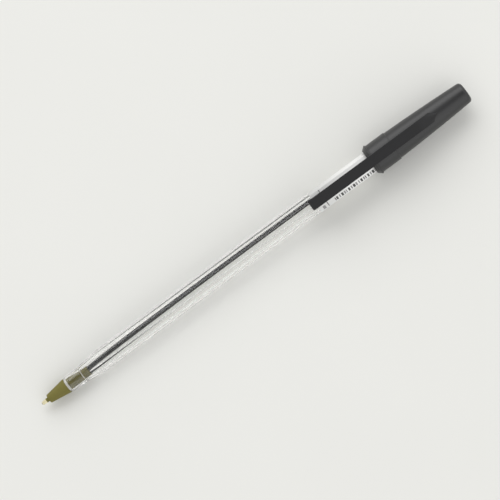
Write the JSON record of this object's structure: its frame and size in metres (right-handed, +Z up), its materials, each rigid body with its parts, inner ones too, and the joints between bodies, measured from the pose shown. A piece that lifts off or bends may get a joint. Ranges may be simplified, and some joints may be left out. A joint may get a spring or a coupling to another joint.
{
  "type": "ballpoint pen",
  "caption": "Clear six-sided stick ballpoint with a brass nose, a black ink refill and a charcoal cap with a long pocket clip, pushed onto the tail.",
  "frame": {"origin": "middle of the pen's length and width, at the lowest point of the bead round the cap's mouth, which stands on the surface", "axes": "+X along the pen from the writing point to the closed end of the cap, +Z up with a flat of the barrel facing within 7 degrees of up, -Y on the side that the clip is turned to"},
  "size_m": [0.17, 0.0108, 0.0125],
  "materials": {
    "barrel": "clear and glossy",
    "nose_cone": "dull olive gold",
    "writing_point": "bright turned metal",
    "writing_ball": "polished",
    "refill_tube": "natural and milky",
    "ink_column": "wet black",
    "end_plug": "moulded",
    "cap": "smooth satin moulding",
    "pocket_clip": "smooth satin moulding"
  },
  "bodies": {
    "pen": {"barrel": "barrel", "nose_cone": "nose_cone", "writing_point": "writing_point", "refill_tube": "refill_tube", "ink_column": "ink_column", "end_plug": "end_plug"},
    "ball": {"writing_ball": "writing_ball"},
    "cap": {"cap": "cap"},
    "clip": {"pocket_clip": "pocket_clip"}
  },
  "joints": [
    {"name": "cap_pull", "type": "slide", "parent": "pen", "child": "cap", "axis": [1, 0, 0], "range_m": [0, 0.04]},
    {"name": "clip_flex", "type": "hinge", "parent": "cap", "child": "clip", "pos_m": [0.06402, -0.00109, 0.01163], "axis": [0, 0.9848, 0.1736], "range_deg": [0, 3], "stiffness_Nm_per_rad": 1},
    {"name": "ball_roll", "type": "hinge", "parent": "pen", "child": "ball", "pos_m": [-0.08453, 0, 0.00544], "axis": [0, 1, 0], "continuous": true}
  ]
}
